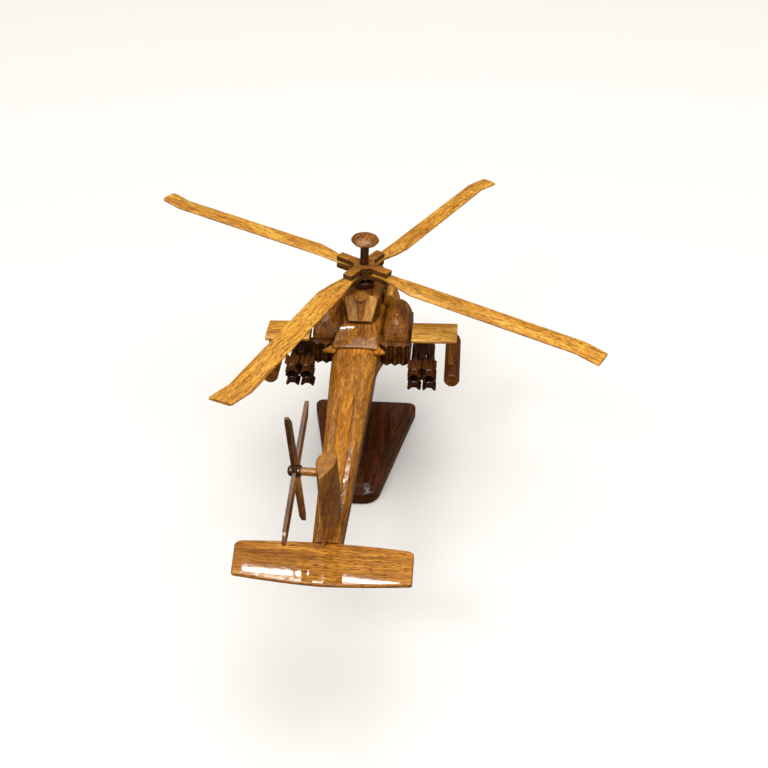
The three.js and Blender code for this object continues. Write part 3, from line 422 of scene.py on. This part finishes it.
# behind the model the room is dark up to a soft sheen, then comes a strip light; behind the viewer it is evenly bright
dark = ramp(wn, [(0.0, (0.08, 0.06, 0.045)), (0.55, (0.09, 0.07, 0.055)), (0.64, (0.22, 0.19, 0.16)), (0.70, (0.20, 0.17, 0.14)), (0.80, (0.35, 0.32, 0.28)), (0.84, (1.5, 1.46, 1.4)), (1.0, (1.75, 1.71, 1.66))])
wn.links.new(sep.outputs["Z"], dark.inputs[0])
lit = ramp(wn, [(0.0, (0.14, 0.11, 0.08)), (0.15, (0.36, 0.32, 0.27)), (0.6, (0.95, 0.90, 0.84)), (1.0, (1.75, 1.71, 1.66))])
wn.links.new(sep.outputs["Z"], lit.inputs[0])
back = wstep(sep.outputs["Y"], -0.25, 0.25)
sky = wn.nodes.new("ShaderNodeMix")
sky.data_type = "RGBA"
wn.links.new(back, sky.inputs[0])
wn.links.new(lit.outputs[0], sky.inputs[6])
wn.links.new(dark.outputs[0], sky.inputs[7])
below = wstep(sep.outputs["Z"], -0.08, 0.0)
ground = wn.nodes.new("ShaderNodeMix")
ground.data_type = "RGBA"
ground.inputs[6].default_value = (0.11, 0.075, 0.05, 1)
wn.links.new(below, ground.inputs[0])
wn.links.new(sky.outputs[2], ground.inputs[7])
# the strip lights: a row of thin bars that hangs a little askew, with a second row just above it
az = wmath("DIVIDE", sep.outputs["X"], wmath("MAXIMUM", sep.outputs["Y"], 0.01))
off = wmath("ADD", az, 0.27)
sag = wmath("SUBTRACT", wmath("MULTIPLY", off, 0.128), wmath("MULTIPLY", wmath("MULTIPLY", off, off), 0.19))
rise = wmath("SUBTRACT", wmath("SUBTRACT", sep.outputs["Z"], 0.704), sag)


def window(value, lo, hi, soft):
    return wmath("MULTIPLY", wstep(value, lo - soft, lo + soft), wmath("SUBTRACT", 1.0, wstep(value, hi - soft, hi + soft)))


first = wmath("ADD", wmath("ADD", window(az, -0.2705, -0.2030, 0.0015), window(az, -0.1985, -0.1765, 0.001)), window(az, -0.1595, -0.0620, 0.002))
second = wmath("ADD", window(az, -0.290, -0.2140, 0.002), window(az, -0.2080, -0.1100, 0.003))
bars = wmath("ADD", wmath("MULTIPLY", window(rise, 0.0, 0.0031, 0.0004), first), wmath("MULTIPLY", window(rise, 0.0063, 0.0180, 0.0004), second))
bars = wmath("MULTIPLY", bars, wstep(sep.outputs["Y"], 0.1, 0.2))
glow = wn.nodes.new("ShaderNodeMix")
glow.data_type = "RGBA"
glow.blend_type = "ADD"
glow.clamp_result = False
glow.inputs[0].default_value = 1.0
barc = wn.nodes.new("ShaderNodeVectorMath")
barc.operation = "SCALE"
barc.inputs[0].default_value = (44, 43, 41.5)
wn.links.new(bars, barc.inputs["Scale"])
wn.links.new(ground.outputs[2], glow.inputs[6])
wn.links.new(barc.outputs[0], glow.inputs[7])
# seen directly, past the floor's edge, the room is as pale as the floor
ray = wn.nodes.new("ShaderNodeLightPath")
seen = wn.nodes.new("ShaderNodeMix")
seen.data_type = "RGBA"
seen.inputs[7].default_value = (0.90, 0.89, 0.87, 1)
wn.links.new(ray.outputs["Is Camera Ray"], seen.inputs[0])
wn.links.new(glow.outputs[2], seen.inputs[6])
wn.links.new(seen.outputs[2], bg.inputs["Color"])
bg.inputs["Strength"].default_value = 1.0


def panel(name, at, aim, w, h, power, colour=(1, 0.97, 0.93)):
    l = bpy.data.lights.new(name, "AREA")
    l.shape = "RECTANGLE"
    l.size, l.size_y = w, h
    l.energy = power
    l.color = colour
    o = bpy.data.objects.new(name, l)
    bpy.context.scene.collection.objects.link(o)
    o.location = at
    o.rotation_euler = (Vector(aim) - Vector(at)).to_track_quat("-Z", "Y").to_euler()
    return o


panel("overhead", (0.25, -0.2, 1.9), (0, 0, 0.1), 1.4, 1.1, 9)
panel("front_fill", (-0.7, -1.5, 1.9), (0, 0, 0.1), 0.45, 0.45, 9)

cam = bpy.data.cameras.new("camera")
cam.sensor_width = 36
cam.lens = 1097.12 / 768 * 36
cam.clip_start = 0.01
co = bpy.data.objects.new("camera", cam)
bpy.context.scene.collection.objects.link(co)
yaw, pitch, roll = math.radians(4.627), math.radians(35.884), math.radians(-0.355)
fwd = Vector((-math.sin(yaw) * math.cos(pitch), math.cos(yaw) * math.cos(pitch), -math.sin(pitch)))
right = Vector((math.cos(yaw), math.sin(yaw), 0))
up = right.cross(fwd)
r = math.cos(roll) * right + math.sin(roll) * up
u = -math.sin(roll) * right + math.cos(roll) * up
co.matrix_world = Matrix(((r.x, u.x, -fwd.x, 0.070524), (r.y, u.y, -fwd.y, -0.703992), (r.z, u.z, -fwd.z, 0.571413), (0, 0, 0, 1)))
bpy.context.scene.camera = co
bpy.context.scene.view_settings.view_transform = "Standard"
bpy.context.scene.view_settings.look = "None"
